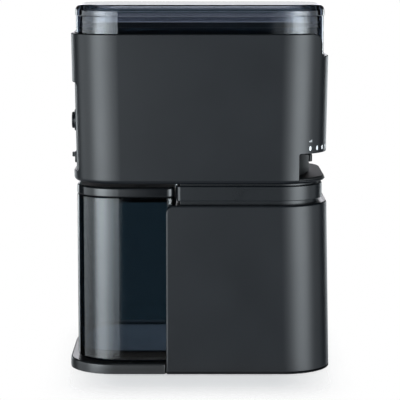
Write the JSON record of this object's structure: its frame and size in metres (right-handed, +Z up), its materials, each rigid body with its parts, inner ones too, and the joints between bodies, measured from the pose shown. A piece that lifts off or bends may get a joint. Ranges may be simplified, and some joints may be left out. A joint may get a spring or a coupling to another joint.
{
  "type": "burr coffee grinder",
  "caption": "Electric conical burr coffee grinder with smoked bean hopper, start button, cup selector, grind lever and pull-out grounds container.",
  "frame": {"origin": "centre of the footprint on the surface that the grinder stands on", "axes": "+Z up; -X towards the control panel and the grounds container; Y across the width"},
  "size_m": [0.193, 0.1326, 0.2705],
  "materials": {
    "body_charcoal": "matte moulded ABS with a fine even grain",
    "trim_black": "satin black plastic",
    "inner_black": "unfinished glass-filled plastic",
    "hopper_smoke": "clear polished plastic with a grey smoke tint",
    "container_smoke": "clear polished plastic with a dark blue-grey smoke tint",
    "funnel_black": "satin black plastic",
    "steel": "plain steel",
    "burr_steel": "ground hardened steel",
    "nylon": "natural white nylon",
    "bronze": "sintered bronze",
    "rubber": "matte black rubber",
    "board_green": "solder resist on glass-fibre board"
  },
  "bodies": {
    "grinder_body": {"upper_housing": "body_charcoal", "control_panel": "body_charcoal", "button_bezel": "trim_black", "slider_bezel": "trim_black", "button_spring": "steel", "control_board": "board_green", "start_switch": "inner_black", "slide_potentiometer": "steel", "hopper_deck": "trim_black", "chassis_plate": "inner_black", "grinding_chamber": "inner_black", "discharge_chute": "inner_black", "slot_liner": "trim_black", "lower_bearing": "bronze", "upper_bearing": "bronze", "motor_can": "steel", "motor_end_cap": "inner_black", "motor_mount": "inner_black", "motor_housing": "body_charcoal", "housing_skirt": "body_charcoal", "base_plate": "trim_black", "cord_gland": "rubber", "foot_1": "rubber", "foot_2": "rubber", "foot_3": "rubber", "foot_4": "rubber", "base_screw_1": "steel", "base_screw_2": "steel", "base_screw_3": "steel", "base_screw_4": "steel"},
    "bean_hopper": {"hopper": "hopper_smoke", "hopper_funnel": "funnel_black", "funnel_spout": "funnel_black"},
    "lid": {"hopper_lid": "hopper_smoke"},
    "container": {"grounds_container": "container_smoke", "container_lid": "trim_black"},
    "button": {"start_button": "body_charcoal"},
    "slider": {"cup_slider": "body_charcoal"},
    "lever": {"grind_lever": "trim_black", "adjusting_ring": "trim_black", "burr_carrier": "nylon", "outer_burr": "burr_steel"},
    "burr_spindle": {"spindle": "steel", "spindle_gear": "nylon", "impeller": "nylon", "inner_burr": "burr_steel", "burr_nut": "steel"},
    "motor_rotor": {"motor_shaft": "steel", "motor_pinion": "steel"}
  },
  "joints": [
    {"name": "hopper_lift", "type": "slide", "parent": "grinder_body", "child": "bean_hopper", "axis": [0, 0, 1], "range_m": [0, 0.08]},
    {"name": "lid_lift", "type": "slide", "parent": "bean_hopper", "child": "lid", "axis": [0, 0, 1], "range_m": [0, 0.06]},
    {"name": "container_pull", "type": "slide", "parent": "grinder_body", "child": "container", "axis": [-1, 0, 0], "range_m": [0, 0.09]},
    {"name": "start_press", "type": "slide", "parent": "grinder_body", "child": "button", "axis": [1, 0, 0], "range_m": [0, 0.002], "stiffness_N_per_m": 400, "springref_m": -0.001, "deforming": ["button_spring"]},
    {"name": "cup_slide", "type": "slide", "parent": "grinder_body", "child": "slider", "axis": [0, 1, 0], "range_m": [-0.018, 0.018]},
    {"name": "grind_turn", "type": "hinge", "parent": "grinder_body", "child": "lever", "pos_m": [0.005, 0, 0.16], "axis": [0, 0, 1], "range_deg": [-5.3, 63.9]},
    {"name": "spindle_spin", "type": "hinge", "parent": "grinder_body", "child": "burr_spindle", "pos_m": [0.005, 0, 0.16], "axis": [0, 0, 1], "continuous": true},
    {"name": "motor_spin", "type": "hinge", "parent": "grinder_body", "child": "motor_rotor", "pos_m": [0.037, 0, 0.15], "axis": [0, 0, 1], "continuous": true}
  ],
  "couplings": [
    {"joint": "motor_spin", "follows": "spindle_spin", "ratio": -4.3333}
  ]
}
